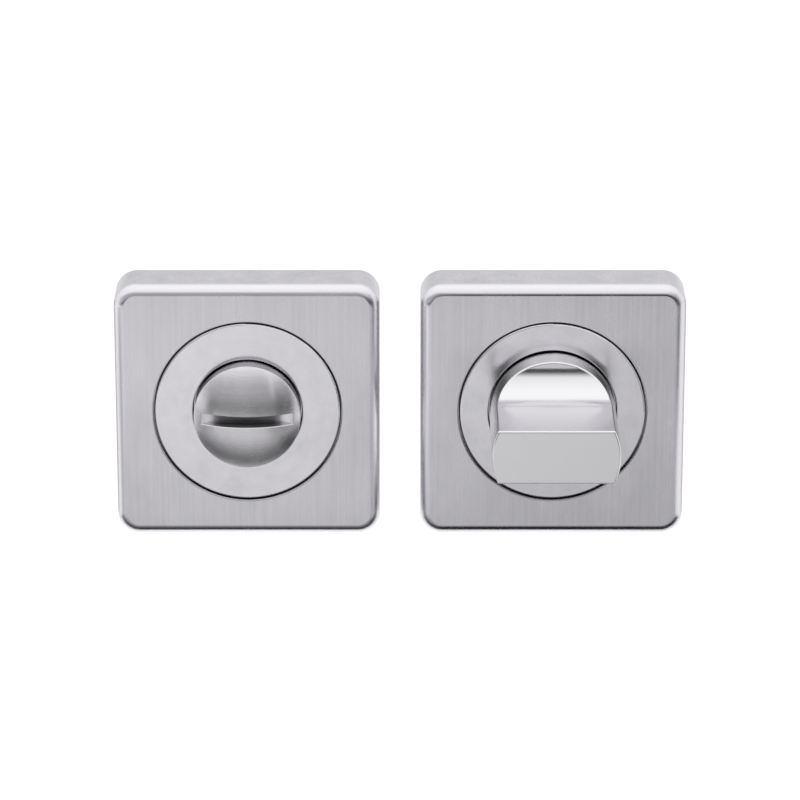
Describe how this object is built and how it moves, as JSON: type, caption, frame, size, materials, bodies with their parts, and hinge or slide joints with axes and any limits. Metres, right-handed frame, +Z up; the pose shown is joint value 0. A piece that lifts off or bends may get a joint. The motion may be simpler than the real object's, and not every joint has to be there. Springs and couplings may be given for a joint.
{
  "type": "bathroom thumb turn lock",
  "caption": "Bathroom lock on square satin roses: a thumb turn with a scooped grip bar and a square spindle, beside its domed coin-slot release.",
  "frame": {"origin": "the thumb turn's axis at the door face, midway between its bolt holes", "axes": "+Z up, +X to the right seen from the front, +Y into the door; both fronts face -Y and the coin release stands 60 mm to the left of the thumb turn"},
  "size_m": [0.112, 0.0914, 0.052],
  "materials": {
    "rose_steel": "satin steel with fine upright brushing",
    "disc_steel": "satin steel, turned",
    "grip_metal": "smooth satin plating",
    "plated_steel": "bright zinc plating",
    "spring_steel": "dark phosphated spring steel",
    "plate_nylon": "moulded black nylon",
    "bush_acetal": "natural white acetal"
  },
  "bodies": {
    "roses": {"turn_cover": "rose_steel", "turn_disc": "disc_steel", "turn_base_plate": "plate_nylon", "turn_bush": "bush_acetal", "release_cover": "rose_steel", "release_disc": "disc_steel", "release_base_plate": "plate_nylon", "release_threaded_posts": "plated_steel", "release_bush": "bush_acetal"},
    "thumb_turn": {"thumb_turn": "grip_metal", "turn_spring_washer": "spring_steel", "turn_circlip": "spring_steel", "spindle": "plated_steel", "spindle_pin": "plated_steel"},
    "release": {"release_button": "grip_metal", "release_spring_washer": "spring_steel", "release_circlip": "spring_steel"}
  },
  "joints": [
    {"name": "turn_rotation", "type": "hinge", "parent": "roses", "child": "thumb_turn", "pos_m": [0, 0, 0], "axis": [0, -1, 0], "range_deg": [0, 90]},
    {"name": "release_rotation", "type": "hinge", "parent": "roses", "child": "release", "pos_m": [-0.06, 0, 0], "axis": [0, -1, 0], "range_deg": [-90, 0]}
  ],
  "couplings": [
    {"joint": "release_rotation", "follows": "turn_rotation", "ratio": -1}
  ]
}
